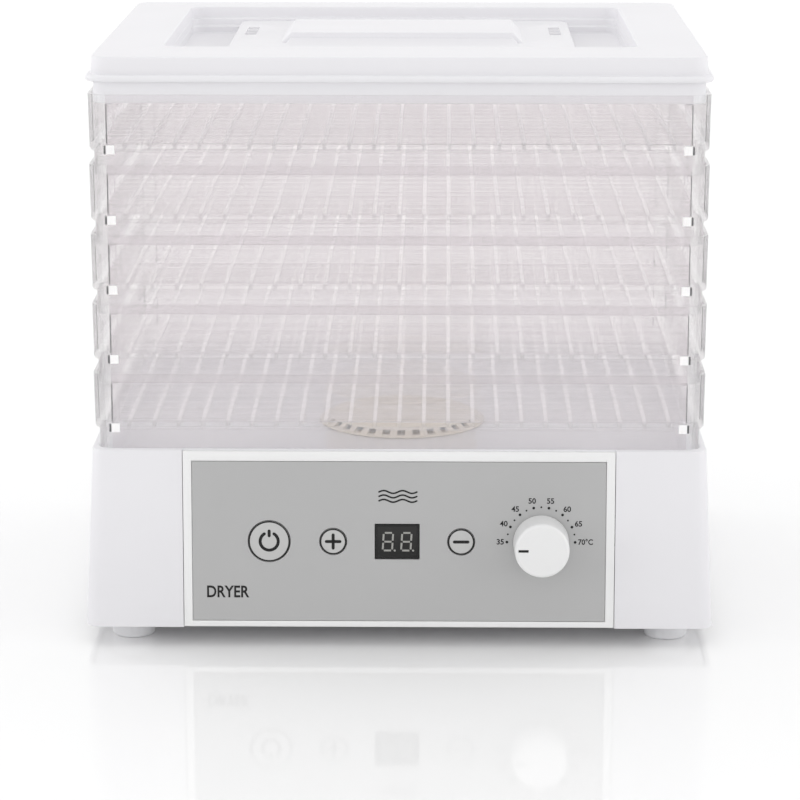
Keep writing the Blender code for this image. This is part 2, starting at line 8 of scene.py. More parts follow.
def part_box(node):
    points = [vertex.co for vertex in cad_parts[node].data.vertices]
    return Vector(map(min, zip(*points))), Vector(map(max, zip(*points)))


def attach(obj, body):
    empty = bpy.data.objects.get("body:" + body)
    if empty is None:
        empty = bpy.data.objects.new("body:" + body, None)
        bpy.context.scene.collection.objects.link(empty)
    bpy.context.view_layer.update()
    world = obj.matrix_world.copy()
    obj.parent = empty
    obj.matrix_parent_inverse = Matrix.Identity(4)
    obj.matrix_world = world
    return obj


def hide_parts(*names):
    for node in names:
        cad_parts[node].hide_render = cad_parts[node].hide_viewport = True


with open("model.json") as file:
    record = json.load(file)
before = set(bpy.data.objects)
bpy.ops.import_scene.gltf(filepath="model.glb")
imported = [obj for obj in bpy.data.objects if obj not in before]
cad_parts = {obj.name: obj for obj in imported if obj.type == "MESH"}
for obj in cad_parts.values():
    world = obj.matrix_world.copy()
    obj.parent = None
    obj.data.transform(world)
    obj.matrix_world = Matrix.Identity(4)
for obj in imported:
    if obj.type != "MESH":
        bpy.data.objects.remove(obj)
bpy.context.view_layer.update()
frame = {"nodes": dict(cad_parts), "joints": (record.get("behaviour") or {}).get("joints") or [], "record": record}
mm = 0.001
crease = math.radians(32)  # edges sharper than this stay crisp

# where the CAD put things: the trays' middle and front, the tilted control panel
trayLow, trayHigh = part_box("tray_5")
middleY = (trayLow.y + trayHigh.y) / 2
trayFront = trayLow.y
trayHalf = ((trayHigh.x - trayLow.x) / 2, (trayHigh.y - trayLow.y) / 2)
turn = next(joint for joint in frame["joints"] if joint["name"] == "temperature_knob_turn")
inward = Vector(turn["axis"])
panelTilt = math.atan2(-inward.z, inward.y)
panelOrigin = Vector((0, turn["pos_m"][1], turn["pos_m"][2]))
panelMatrix = Matrix.Translation(panelOrigin) @ Matrix.Rotation(-panelTilt, 4, "X")
outwards = Matrix.Rotation(math.radians(90), 4, "X")  # turns +Z to -Y
print("frame loaded, panel tilt %.2f degrees" % math.degrees(panelTilt))


def srgb(code):
    channels = [int(code[i:i + 2], 16) / 255 for i in (1, 3, 5)]
    return tuple(c / 12.92 if c <= 0.04045 else ((c + 0.055) / 1.055) ** 2.4 for c in channels) + (1.0,)


def addNode(tree, kind, settings=None, inputs=None):
    made = tree.nodes.new(kind)
    for key, value in (settings or {}).items():
        setattr(made, key, value)
    for key, value in (inputs or {}).items():
        if isinstance(value, bpy.types.NodeSocket):
            tree.links.new(value, made.inputs[key])
        else:
            made.inputs[key].default_value = value
    return made


def newMaterial(name):
    made = bpy.data.materials.new(name)
    made.use_nodes = True
    tree = made.node_tree
    tree.nodes.clear()
    return made, tree, tree.nodes.new("ShaderNodeOutputMaterial")


def place(name, mesh, matrix=None):
    made = bpy.data.objects.new(name, mesh)
    bpy.context.scene.collection.objects.link(made)
    if matrix is not None:
        made.matrix_world = matrix
    return made


def shadeSmooth(mesh):
    mesh.shade_smooth()
    mesh.set_sharp_from_angle(angle=crease)


def fromBmesh(name, shape, matrix=None, smooth=True):
    bmesh.ops.recalc_face_normals(shape, faces=shape.faces)
    mesh = bpy.data.meshes.new(name)
    shape.to_mesh(mesh)
    shape.free()
    if smooth:
        shadeSmooth(mesh)
    return place(name, mesh, matrix)


# one closed loop round a rounded rectangle
def ring(shape, halfX, halfY, radius, z, centre=(0, 0), steps=8):
    radius = max(radius, 0.2 * mm)
    loop = []
    for quarter, (sideX, sideY) in enumerate(((1, 1), (-1, 1), (-1, -1), (1, -1))):
        for i in range(steps + 1):
            angle = math.radians(90) * (quarter + i / steps)
            x = centre[0] + sideX * (halfX - radius) + radius * math.cos(angle)
            y = centre[1] + sideY * (halfY - radius) + radius * math.sin(angle)
            loop.append(shape.verts.new((x, y, z)))
    return loop


def skin(shape, loops, closed=False):
    pairs = list(zip(loops, loops[1:]))
    if closed:
        pairs.append((loops[-1], loops[0]))
    for low, high in pairs:
        for i in range(len(low)):
            j = (i + 1) % len(low)
            shape.faces.new((low[i], low[j], high[j], high[i]))


# turns (radius, height) points about Z; a radius of 0 is a pole
def lathe(name, profile, matrix=None, steps=64):
    shape = bmesh.new()
    loops = []
    for radius, z in profile:
        if radius == 0:
            loops.append([shape.verts.new((0, 0, z))])
            continue
        angles = [2 * math.pi * i / steps for i in range(steps)]
        loops.append([shape.verts.new((radius * math.cos(a), radius * math.sin(a), z)) for a in angles])
    pairs = list(zip(loops, loops[1:]))
    if profile[0][0] > 0:
        pairs.append((loops[-1], loops[0]))
    for low, high in pairs:
        for i in range(steps):
            j = (i + 1) % steps
            if len(low) == 1:
                shape.faces.new((low[0], high[j], high[i]))
            elif len(high) == 1:
                shape.faces.new((low[i], low[j], high[0]))
            else:
                shape.faces.new((low[i], low[j], high[j], high[i]))
    return fromBmesh(name, shape, matrix)


# a quarter of a circle in a profile, from one angle in degrees to another
def arc(centre, radius, start, end, steps=5):
    angles = [math.radians(start + (end - start) * i / steps) for i in range(steps + 1)]
    return [(centre[0] + radius * math.cos(a), centre[1] + radius * math.sin(a)) for a in angles]


def boxMesh(shape, low, high):
    verts = bmesh.ops.create_cube(shape, size=1.0)["verts"]
    for v in verts:
        v.co = [low[i] + (v.co[i] + 0.5) * (high[i] - low[i]) for i in range(3)]
    return verts


def boxObject(name, low, high, matrix=None):
    shape = bmesh.new()
    boxMesh(shape, low, high)
    return fromBmesh(name, shape, matrix, smooth=False)


def applyAll(target):
    bpy.context.view_layer.update()
    graph = bpy.context.evaluated_depsgraph_get()
    mesh = bpy.data.meshes.new_from_object(target.evaluated_get(graph))
    target.modifiers.clear()
    target.data = mesh


def carve(target, tools, operation="DIFFERENCE"):
    for tool in tools:
        step = target.modifiers.new("carve", "BOOLEAN")
        step.operation = operation
        step.object = tool
        step.solver = "EXACT"
    applyAll(target)
    for tool in tools:
        bpy.data.objects.remove(tool)


def softenEdges(target, width, segments=2, angle=50):
    step = target.modifiers.new("edges", "BEVEL")
    step.width = width
    step.segments = segments
    step.limit_method = "ANGLE"
    step.angle_limit = math.radians(angle)
    applyAll(target)
    shadeSmooth(target.data)


def finishPiece(piece, material, body, slot, *nodes):
    if material:
        piece.data.materials.clear()
        piece.data.materials.append(material)
    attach(piece, body)
    if nodes:
        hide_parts(*nodes)


moulding = {"cloud": 60 * mm, "cloudShade": 0.985, "glossSpread": 0.05, "index": 1.53, "specular": 0.35}


# injection-moulded ABS: the spark-eroded mould leaves an even satin skin with a very fine grain
def mouldedAbs(name, colour, roughness=0.32, grain=0.5 * mm, depth=0.004 * mm):
    made, tree, output = newMaterial(name)
    where = addNode(tree, "ShaderNodeTexCoord")
    speck = addNode(tree, "ShaderNodeTexNoise", None,
                    {"Vector": where.outputs["Object"], "Scale": 1 / grain, "Detail": 3.0, "Roughness": 0.55})
    cloud = addNode(tree, "ShaderNodeTexNoise", None,
                    {"Vector": where.outputs["Object"], "Scale": 1 / moulding["cloud"], "Detail": 2.0})
    base = srgb(colour)
    tint = addNode(tree, "ShaderNodeValToRGB", None, {"Fac": cloud.outputs["Fac"]})
    tint.color_ramp.elements[0].position = 0.3
    tint.color_ramp.elements[1].position = 0.7
    tint.color_ramp.elements[0].color = tuple(c * moulding["cloudShade"] for c in base[:3]) + (1,)
    tint.color_ramp.elements[1].color = base
    spread = moulding["glossSpread"]
    gloss = addNode(tree, "ShaderNodeMapRange", None,
                    {"Value": speck.outputs["Fac"],
                     "To Min": roughness - spread, "To Max": roughness + spread})
    bump = addNode(tree, "ShaderNodeBump", None,
                   {"Height": speck.outputs["Fac"], "Distance": depth, "Strength": 0.6})
    shader = addNode(tree, "ShaderNodeBsdfPrincipled", None,
                     {"Base Color": tint.outputs["Color"], "Roughness": gloss.outputs["Result"],
                      "Normal": bump.outputs["Normal"], "IOR": moulding["index"],
                      "Specular IOR Level": moulding["specular"]})
    tree.links.new(shader.outputs[0], output.inputs[0])
    return made


styrene = {
    "flow": 22 * mm, "wave": 0.08 * mm, "index": 1.5, "headOn": 0.04, "steepness": 5.0,
    "glossSpread": 0.05,
}


# moulded polystyrene: a glossy skin over a body that shows what lies behind it through a faint milky haze;
# haze is how milky it is, bend the share of light that its thickness bends, grazing its mirror seen edge-on; the
# last argument is the strength of a painted glow
def clearStyrene(name, tint, haze=0.06, bend=0.2, frost=0.05, paintedGlow=0.0, grazing=0.9):
    made, tree, output = newMaterial(name)
    where = addNode(tree, "ShaderNodeTexCoord")
    flow = addNode(tree, "ShaderNodeTexNoise", None,
                   {"Vector": where.outputs["Object"], "Scale": 1 / styrene["flow"], "Detail": 2.0})
    gloss = addNode(tree, "ShaderNodeMapRange", None,
                    {"Value": flow.outputs["Fac"], "To Min": frost, "To Max": frost + styrene["glossSpread"]})
    bump = addNode(tree, "ShaderNodeBump", None,
                   {"Height": flow.outputs["Fac"], "Distance": styrene["wave"], "Strength": 0.5})
    through = addNode(tree, "ShaderNodeBsdfTransparent", None, {"Color": srgb(tint)})
    bent = addNode(tree, "ShaderNodeBsdfRefraction", None,
                   {"Color": srgb("#FFFFFF"), "Roughness": gloss.outputs["Result"], "IOR": styrene["index"],
                    "Normal": bump.outputs["Normal"]})
    milk = srgb("#FBFAFA")
    front = addNode(tree, "ShaderNodeBsdfDiffuse", None, {"Color": milk, "Normal": bump.outputs["Normal"]})
    behind = addNode(tree, "ShaderNodeBsdfTranslucent", None, {"Color": milk})
    mirror = addNode(tree, "ShaderNodeBsdfGlossy", None,
                     {"Color": srgb("#FFFFFF"), "Roughness": gloss.outputs["Result"],
                      "Normal": bump.outputs["Normal"]})
    clear = addNode(tree, "ShaderNodeMixShader", None, {0: bend, 1: through.outputs[0], 2: bent.outputs[0]})
    milky = addNode(tree, "ShaderNodeMixShader", None, {0: 0.5, 1: front.outputs[0], 2: behind.outputs[0]})
    inside = addNode(tree, "ShaderNodeMixShader", None, {0: haze, 1: clear.outputs[0], 2: milky.outputs[0]})
    edge = addNode(tree, "ShaderNodeLayerWeight", None, {"Blend": 0.5})
    steep = addNode(tree, "ShaderNodeMath", {"operation": "POWER"},
                    {0: edge.outputs["Facing"], 1: styrene["steepness"]})
    share = addNode(tree, "ShaderNodeMapRange", None,
                    {"Value": steep.outputs["Value"], "To Min": styrene["headOn"], "To Max": grazing})
    skinned = addNode(tree, "ShaderNodeMixShader", None,
                      {0: share.outputs["Result"], 1: inside.outputs[0], 2: mirror.outputs[0]})
    if paintedGlow:  # painted glow: an emission that stands in for light running inside the clear plastic and leaving it at the ribs
        paintedGlowEmission = addNode(tree, "ShaderNodeEmission", None, {"Color": srgb("#FFFDFC"), "Strength": paintedGlow})
        skinned = addNode(tree, "ShaderNodeAddShader", None, {0: skinned.outputs[0], 1: paintedGlowEmission.outputs[0]})
    # soft light and shadows pass straight through, so that the stack stays light inside
    ray = addNode(tree, "ShaderNodeLightPath")
    lampThrough = addNode(tree, "ShaderNodeBsdfTransparent", None, {"Color": srgb("#FDFDFD")})
    soft = addNode(tree, "ShaderNodeMixShader", None,
                   {0: ray.outputs["Is Diffuse Ray"], 1: skinned.outputs[0], 2: lampThrough.outputs[0]})
    mix = addNode(tree, "ShaderNodeMixShader", None,
                  {0: ray.outputs["Is Shadow Ray"], 1: soft.outputs[0], 2: lampThrough.outputs[0]})
    tree.links.new(mix.outputs[0], output.inputs[0])
    return made


# painted board: smooth enough to mirror the base faintly, a little cloudy from the roller
def rolledPaint(name):
    made, tree, output = newMaterial(name)
    where = addNode(tree, "ShaderNodeTexCoord")
    cloud = addNode(tree, "ShaderNodeTexNoise", None,
                    {"Vector": where.outputs["Object"], "Scale": 1 / (330 * mm), "Detail": 2.0})
    gloss = addNode(tree, "ShaderNodeMapRange", None,
                    {"Value": cloud.outputs["Fac"], "To Min": 0.05, "To Max": 0.07})
    shader = addNode(tree, "ShaderNodeBsdfPrincipled", None,
                     {"Base Color": srgb("#FCFCFC"), "Roughness": gloss.outputs["Result"], "IOR": 1.5})
    tree.links.new(shader.outputs[0], output.inputs[0])
    return made


# zinc-plated or drawn steel: grey metal, clouded where the plating grew unevenly
def platedSteel(name, colour, roughness=0.35):
    made, tree, output = newMaterial(name)
    where = addNode(tree, "ShaderNodeTexCoord")
    cloud = addNode(tree, "ShaderNodeTexNoise", None,
                    {"Vector": where.outputs["Object"], "Scale": 1 / (4 * mm), "Detail": 4.0})
    gloss = addNode(tree, "ShaderNodeMapRange", None,
                    {"Value": cloud.outputs["Fac"], "To Min": roughness - 0.1, "To Max": roughness + 0.15})
    base = srgb(colour)
    tint = addNode(tree, "ShaderNodeValToRGB", None, {"Fac": cloud.outputs["Fac"]})
    tint.color_ramp.elements[0].color = tuple(c * 0.8 for c in base[:3]) + (1,)
    tint.color_ramp.elements[1].color = base
    shader = addNode(tree, "ShaderNodeBsdfPrincipled", None,
                     {"Base Color": tint.outputs["Color"], "Roughness": gloss.outputs["Result"],
                      "Metallic": 1.0})
    tree.links.new(shader.outputs[0], output.inputs[0])
    return made


whiteAbs = mouldedAbs("whiteMouldedAbs", "#E7E6E9", 0.38)  # cool satin white
bezelAbs = mouldedAbs("whiteBezelAbs", "#ECECEC", 0.34)  # a shade whiter and glossier than the body
knobAbs = mouldedAbs("knobMouldedAbs", "#E8E8E8", 0.32)  # a touch greyer and smoother than the bezel
wallStyrene = clearStyrene("clearMouldedStyrene", "#F6F4F5")  # thin walls, nearly colourless
ribTopStyrene = clearStyrene("polishedRibStyrene", "#FFFFFF", 0.05, 0.2, 0.06, 0.15)  # a bright line from a painted glow
ribSideStyrene = clearStyrene("frostedRibStyrene", "#FCFBFB", 0.04, 0.15, 0.12)  # frosted, blurred sides, tinted lighter than the walls as painted light
cornerStyrene = clearStyrene("cornerStyrene", "#FCFCFC", 0.04, 0.12)  # rounded corners and posts, almost water-clear, tinted lighter than the walls as painted light
lugStyrene = clearStyrene("lugStyrene", "#FFFFFF", 0.85, 0.5, 0.05, 0.12)  # thick and milky with a painted glow, so it looks white: a painted highlight
paintedShadeStyrene = clearStyrene("edgeOnStyrene", "#5E5E62", 0.02, 0.1, grazing=0.06)  # a dark tint: painted shade where the plastic is seen edge-on
greyFilm = mouldedAbs("greyPolyesterFilm", "#B4B4B4", 0.45, 0.35 * mm, 0.003 * mm)  # even matt grey
keyFilm = mouldedAbs("paleKeyFilm", "#BFBFBE", 0.45, 0.35 * mm, 0.003 * mm)  # keys lighter than the film
blackInk = mouldedAbs("blackScreenInk", "#0C0C0C", 0.5, 0.25 * mm, 0.002 * mm)  # flat screen-printed black
blackAbs = mouldedAbs("blackMouldedAbs", "#1E1E1E", 0.4)  # satin black switch and relay bodies
smokedPane = mouldedAbs("smokedAcrylicPane", "#0E0E0D", 0.1, 2 * mm, 0.001 * mm)  # glossy, brown-black
unlitSegment = mouldedAbs("unlitSegmentEpoxy", "#9C9C98", 0.5, 0.25 * mm, 0.002 * mm)  # dull grey, off
beigeNylon = mouldedAbs("beigeMouldedNylon", "#DDD3C4", 0.45)  # heat-proof, so it keeps its raw colour
footRubber = mouldedAbs("mouldedFootRubber", "#E4E4E6", 0.6)  # dull pale rubber
zincSteel = platedSteel("zincPlatedSteel", "#B9BABC")  # cool grey, clouded
floorPaint = rolledPaint("rolledFloorPaint")
print("materials made")


tray = {
    "wall": 2.0 * mm, "draft": 0.4 * mm, "wallHeight": 30.1 * mm, "corner": 10.0 * mm, "lip": 0.4 * mm,
    "bottomBend": 2.2 * mm, "skirtHeight": 12.0 * mm, "skirtInset": 2.6 * mm, "floor": 4.5 * mm,
    "ribPitch": 13.0 * mm, "ribs": 23, "ribWidth": 2.0 * mm, "ribTop": 4.0 * mm,
    "crossPitch": 13.9 * mm, "crossRibs": 18, "crossWidth": 1.2 * mm,
    "sideFrame": 155.5 * mm, "endFrame": 131.5 * mm,
    "postOuter": 9.9 * mm, "postInner": 13.5 * mm, "postDepth": (2.0 * mm, 8.5 * mm), "postTop": 24.8 * mm,
    "lugOuter": 9.9 * mm, "lugInner": 14.3 * mm, "lugShade": 1.1 * mm, "lugLow": -1.0 * mm,
    "lugHigh": 3.7 * mm, "lugReach": 3.1 * mm, "lugNear": 0.15 * mm, "shadeNear": 0.3 * mm,
    "shadeTrim": 0.2 * mm, "postLow": 2 * mm, "ribLow": 0.9 * mm, "crossLift": 0.5 * mm,
    "shadeLow": 6 * mm, "shadeHigh": 28 * mm, "count": 5,
}
wallFace, ribTopFace, ribSideFace, cornerFace, lugFace, paintedShadeFace = range(6)


# rim, wall, bend, skirt and back up the inside, as one closed ring of plastic
def trayWalls(spec):
    lip, bend, draft = spec["lip"], spec["bottomBend"], spec["draft"]
    top, skirtLow = spec["wallHeight"], -spec["skirtHeight"]
    skirt = spec["skirtInset"]
    skirtIn = skirt + spec["wall"]
    profile = [(lip, top), (0.1 * mm, top - 0.1 * mm), (0.0, top - lip)]
    profile += [(draft + bend - x, bend + z) for x, z in arc((0, 0), bend, 0, -80, 6)]
    profile += [
        (skirt + 0.1 * mm, -0.3 * mm), (skirt + 0.2 * mm, lip + skirtLow), (skirt + lip, skirtLow),
        (skirtIn - lip, skirtLow), (skirtIn, lip + skirtLow), (skirtIn, 1.5 * mm),
        (skirtIn - 0.4 * mm, 2.6 * mm), (spec["wall"] + draft + 0.6 * mm, 3.8 * mm),
        (spec["wall"] + draft, spec["floor"] + 0.6 * mm), (spec["wall"], top - lip),
        (spec["wall"] - 0.1 * mm, top - 0.1 * mm), (spec["wall"] - lip, top),
    ]
    shape = bmesh.new()
    loops = [ring(shape, trayHalf[0] - i, trayHalf[1] - i, spec["corner"] - i, z) for i, z in profile]
    skin(shape, loops, closed=True)
    return fromBmesh("trayWalls", shape)


# where ribs of one direction begin and end, out to the frame round them
def slats(count, pitch, width, frameEdge, end):
    cuts = [-end, -frameEdge]
    for i in range(count):
        at = (i - (count - 1) / 2) * pitch
        cuts += [at - width / 2, at + width / 2]
    return cuts + [frameEdge, end]


# the moulded floor's frame and long ribs, and the thin ribs that cross them a little higher
def trayGrid(spec):
    inset = spec["draft"] + spec["wall"] * 0.75 + 0.9 * mm
    endX, endY = trayHalf[0] - inset, trayHalf[1] - inset
    xs = slats(spec["ribs"], spec["ribPitch"], spec["ribWidth"], spec["sideFrame"], endX)
    ys = [-endY, -spec["endFrame"], spec["endFrame"], endY]
    low, high = spec["ribLow"], spec["ribTop"]
    shape = bmesh.new()
    points = [[shape.verts.new((x, y, low)) for y in ys] for x in xs]
    faces = []
    for i in range(len(xs) - 1):
        for j in range(3):
            atCorner = i in (0, len(xs) - 2) and j in (0, 2)
            if (i % 2 == 0 or j % 2 == 0) and not atCorner:
                corners = (points[i][j], points[i + 1][j], points[i + 1][j + 1], points[i][j + 1])
                faces.append(shape.faces.new(corners))
    bmesh.ops.delete(shape, geom=[v for v in shape.verts if not v.link_faces], context="VERTS")
    raised = bmesh.ops.extrude_face_region(shape, geom=faces)
    for v in raised["geom"]:
        if isinstance(v, bmesh.types.BMVert):
            v.co.z = high
    longRibs = fromBmesh("longRibs", shape, smooth=False)
    across = bmesh.new()
    cuts = slats(spec["crossRibs"], spec["crossPitch"], spec["crossWidth"], spec["endFrame"], endY)[2:-2]
    reach = spec["sideFrame"] + 1 * mm
    for front, back in zip(cuts[::2], cuts[1::2]):
        boxMesh(across, (-reach, front, low + spec["crossLift"]), (reach, back, spec["floor"]))
    return [longRibs, fromBmesh("crossRibs", across, smooth=False)]


# the post in each corner that the skirt above stands on, and the lug below it with a thin strip of painted shade
# at its edge
def trayCorners(spec):
    lugOuter, lugLow, lugHigh, trim = spec["lugOuter"], spec["lugLow"], spec["lugHigh"], spec["shadeTrim"]
    post = (spec["postOuter"], spec["postInner"], *spec["postDepth"], spec["postLow"], spec["postTop"])
    lug = (lugOuter, spec["lugInner"], spec["lugNear"], spec["lugReach"], lugLow, lugHigh)
    shade = (lugOuter - spec["lugShade"], lugOuter + 0.1 * mm, spec["shadeNear"], spec["lugReach"],
             lugLow + trim, lugHigh - trim)
    tools = []
    for side in (-1, 1):
        for end in (-1, 1):
            for outer, inner, near, far, low, high in (post, lug, shade):
                xs = sorted((side * (trayHalf[0] - outer), side * (trayHalf[0] - inner)))
                ys = sorted((end * (trayHalf[1] - near), end * (trayHalf[1] - far)))
                tools.append(boxObject("corner", (xs[0], ys[0], low), (xs[1], ys[1], high)))
    return tools


# which of the six finishes a face of the tray has; the dark one is painted shade
def trayFinish(spec, face):
    x, y, z = face.center
    inX, inY = trayHalf[0] - abs(x), trayHalf[1] - abs(y)
    outwardX = face.normal.x * (1 if x > 0 else -1)
    atLug = inY < spec["lugReach"] + 0.1 * mm and spec["lugLow"] - 0.1 * mm < z < spec["lugHigh"] + 0.1 * mm
    # the lug gets a painted highlight, the thin strip beside it painted shade
    if atLug and spec["lugOuter"] - spec["lugShade"] - 0.1 * mm < inX < spec["lugInner"] + 0.1 * mm:
        return paintedShadeFace if inX < spec["lugOuter"] - 0.05 * mm else lugFace
    inCorner = inX < spec["corner"] + 4 * mm and inY < spec["corner"]
    low, high = spec["shadeLow"], spec["shadeHigh"]
    # painted shade on the post's outer side and on the inner wall of each corner
    if inCorner and low < z and 0.9 * spec["postOuter"] < inX < spec["postInner"] and outwardX > 0.9:
        return paintedShadeFace
    if inCorner and low < z < high and 1.8 * mm < inX < 5 * mm and outwardX < -0.9:
        return paintedShadeFace
    if inCorner and inX < spec["corner"]:
        return cornerFace
    onFloor = -0.1 * mm < z < spec["floor"] + 0.1 * mm and inX > 5 * mm and inY > 5 * mm
    if onFloor:
        return ribTopFace if face.normal.z > 0.8 else ribSideFace
    return wallFace


def buildTrays(spec):
    body = trayWalls(spec)
    carve(body, trayGrid(spec) + trayCorners(spec), "UNION")
    mesh = body.data
    shadeSmooth(mesh)
    bpy.data.objects.remove(body)
    mesh.materials.clear()
    for finish in (wallStyrene, ribTopStyrene, ribSideStyrene, cornerStyrene, lugStyrene, paintedShadeStyrene):
        mesh.materials.append(finish)
    for face in mesh.polygons:
        face.material_index = trayFinish(spec, face)
    for number in range(1, spec["count"] + 1):
        node = "tray_%d" % number
        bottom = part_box(node)[1].z - spec["wallHeight"]
        piece = place("clearTray%d" % number, mesh, Matrix.Translation((0, middleY, bottom)))
        finishPiece(piece, None, node + "_body", "clear_polystyrene", node)
    print("trays built,", len(mesh.polygons), "faces each")


buildTrays(tray)


lid = {
    "thick": 2.2 * mm, "topHalf": (160 * mm, 135 * mm), "corner": 10 * mm, "edge": 0.8 * mm,
    "flare": 0.6 * mm, "bead": 3.5 * mm, "beadDrop": 0.5 * mm, "beadRound": 1.2 * mm,
    "skirt": 11.7 * mm, "skirtCorner": 7.5 * mm, "skirtGap": 0.3 * mm, "skirtEdge": 0.4 * mm,
    "recessHalf": 126 * mm, "recessFront": 49 * mm, "recessBack": 241 * mm, "recessEdge": 0.9 * mm,
    "floorDepth": 15.2 * mm, "draft": 0.1 * mm,
    # reach behind the recess and depth, down the ledges along its back
    "ledges": ((6.0, 6.2), (5.5, 6.7), (3.5, 6.8), (3.0, 7.3), (3.0, 10.2), (2.5, 10.7), (0.5, 10.8),
               (0.0, 11.3), (-0.2, 14.4), (-1.0, 15.2)),
    "plateauDrop": 7.2 * mm, "plateauHalf": 95 * mm, "plateauFront": 63 * mm, "plateauBack": 237 * mm,
    "barDrop": 1.6 * mm, "barFace": 3.0 * mm, "barFront": 127 * mm, "barBack": 193 * mm,
    "barHalf": (68 * mm, 62 * mm), "apronHalf": (64.5 * mm, 62 * mm), "apronReach": 12 * mm,
    "ventX": 86.6 * mm, "ventWidth": 6.5 * mm, "ventFront": 165 * mm, "ventBack": 203 * mm, "louvres": 3,
    "louvreGap": 1.6 * mm,
}


def buildLid(spec):
    low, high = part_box("lid")
    top, skirtLow = high.z, low.z
    rim = skirtLow + spec["skirt"] - spec["beadDrop"]
    bead = spec["bead"] / 2
    beadHalf = ((high.x - low.x) / 2, (high.y - low.y) / 2)
    skirtHalf = [half - tray["skirtInset"] - spec["skirtGap"] for half in trayHalf]
    topHalf, corner, thick = spec["topHalf"], spec["corner"], spec["thick"]
    floor, plateau = top - spec["floorDepth"], top - spec["plateauDrop"]
    shape = bmesh.new()

    def loop(half, inset, radius, z):
        return ring(shape, half[0] - inset, half[1] - inset, radius, z, (0, middleY))

    # a loop given by its side and by how far its front and back lie behind the trays' front
    def between(sideHalf, front, back, radius, z):
        return ring(shape, sideHalf, (back - front) / 2, radius, z, (0, trayFront + (front + back) / 2))

    skirtCorner, skirtEdge, edge = spec["skirtCorner"], spec["skirtEdge"], spec["edge"]
    loops = [loop(skirtHalf, skirtEdge, skirtCorner, skirtLow),
             loop(skirtHalf, 0, skirtCorner, skirtLow + skirtEdge),
             loop(skirtHalf, 0, skirtCorner, rim - 0.3 * mm), loop(skirtHalf, -0.3 * mm, skirtCorner, rim)]
    beadRound = spec["beadRound"]
    loops += [loop(beadHalf, beadRound - x, corner, rim + bead + z * bead / beadRound)
              for x, z in arc((0, 0), beadRound, -90, 90, 6)]
    beadTop = rim + 2 * bead
    loops += [loop(topHalf, -spec["flare"], corner, beadTop + lift) for lift in (0, 0.3 * mm)]
    loops += [loop(topHalf, edge - x, corner, z) for x, z in arc((0, top - edge), edge, 0, 90)]
    side, front, back = spec["recessHalf"], spec["recessFront"], spec["recessBack"]
    bend, reach = spec["recessEdge"], spec["ledges"][0][0] * mm
    loops += [between(side + bend - x, front - bend + x, back + reach + bend - x, 8 * mm, z)
              for x, z in arc((0, top - bend), bend, 90, 0, 3)]
    for step, (reach, depth) in enumerate(spec["ledges"]):
        inset = step * spec["draft"]
        loops.append(between(side - inset, front + inset, back + reach * mm, 7 * mm, top - depth * mm))
    wide, near, far = spec["plateauHalf"], spec["plateauFront"], spec["plateauBack"]
    for out, frontOut, radius, z in ((3.5, 2.0, 9.0, floor), (3.0, 1.7, 8.8, floor + 0.4 * mm),
                                     (0.5, 0.3, 8.0, plateau - 0.5 * mm), (0.0, 0.0, 7.8, plateau - 0.1 * mm),
                                     (-0.5, -0.5, 7.4, plateau)):
        loops.append(between(wide + out * mm, near - frontOut * mm, far + frontOut * mm, radius * mm, z))
    skin(shape, loops)
    shape.faces.new(loops[-1])

    # the underside, hollow also under the plateau
    under = [loops[0], loop(skirtHalf, thick, 5.5 * mm, skirtLow), loop(skirtHalf, thick, 5.5 * mm, rim),
             loop(topHalf, thick, corner - thick, top - thick - 1 * mm),
             loop(topHalf, thick + 1 * mm, corner - thick, top - thick)]
    backOut = back + spec["ledges"][0][0] * mm + thick
    for out, z in ((0.6 * mm, top - thick), (0, top - thick - 0.6 * mm), (0, floor - thick)):
        under.append(between(side + thick + out, front - thick - out, backOut + out, 9 * mm, z))
    for inset, z in ((thick - 0.4 * mm, floor - thick), (thick, floor - thick + 0.4 * mm),
                     (thick, plateau - thick)):
        under.append(between(wide - inset, near + inset, far - inset, 6 * mm, z))
    skin(shape, under)
    shape.faces.new(under[-1])
    piece = fromBmesh("ventedLid", shape)

    # a solid between two rectangles, each given by its half width, front, back and height
    def slab(name, lowest, highest):
        made = bmesh.new()
        sections = [ring(made, half, (to - start) / 2, 1.2 * mm, z, (0, trayFront + (start + to) / 2), 3)
                    for half, start, to, z in (lowest, highest)]
        skin(made, sections)
        for section in sections:
            made.faces.new(section)
        return fromBmesh(name, made, smooth=False)

    barTop = top - spec["barDrop"]
    lowHalf, highHalf = spec["barHalf"]
    barFront, barBack = spec["barFront"], spec["barBack"]
    bar = slab("bar", (lowHalf, barFront, barBack, plateau - 1 * mm),
               (highHalf, barFront + 0.4 * mm, barBack, barTop))
    lowHalf, highHalf = spec["apronHalf"]
    apronTop = barTop - spec["barFace"]
    apronFront = barFront - spec["apronReach"]
    apron = slab("apron", (lowHalf, apronFront, barFront + 8 * mm, plateau - 0.3 * mm),
                 (highHalf, barFront - 1.2 * mm, barFront + 4 * mm, apronTop))
    carve(piece, [bar, apron], "UNION")
    tools = []
    length = (spec["ventBack"] - spec["ventFront"] + spec["louvreGap"]) / spec["louvres"]
    for side in (-1, 1):
        for number in range(spec["louvres"]):
            x, y = side * spec["ventX"], trayFront + spec["ventFront"] + number * length
            half = spec["ventWidth"] / 2
            tools.append(boxObject("vent", (x - half, y, floor),
                                   (x + half, y + length - spec["louvreGap"], top)))
    carve(piece, tools)
    softenEdges(piece, 0.35 * mm, 2, 42)
    finishPiece(piece, whiteAbs, "lid_body", "white_abs", "lid")
    print("lid built,", len(piece.data.polygons), "faces")


buildLid(lid)


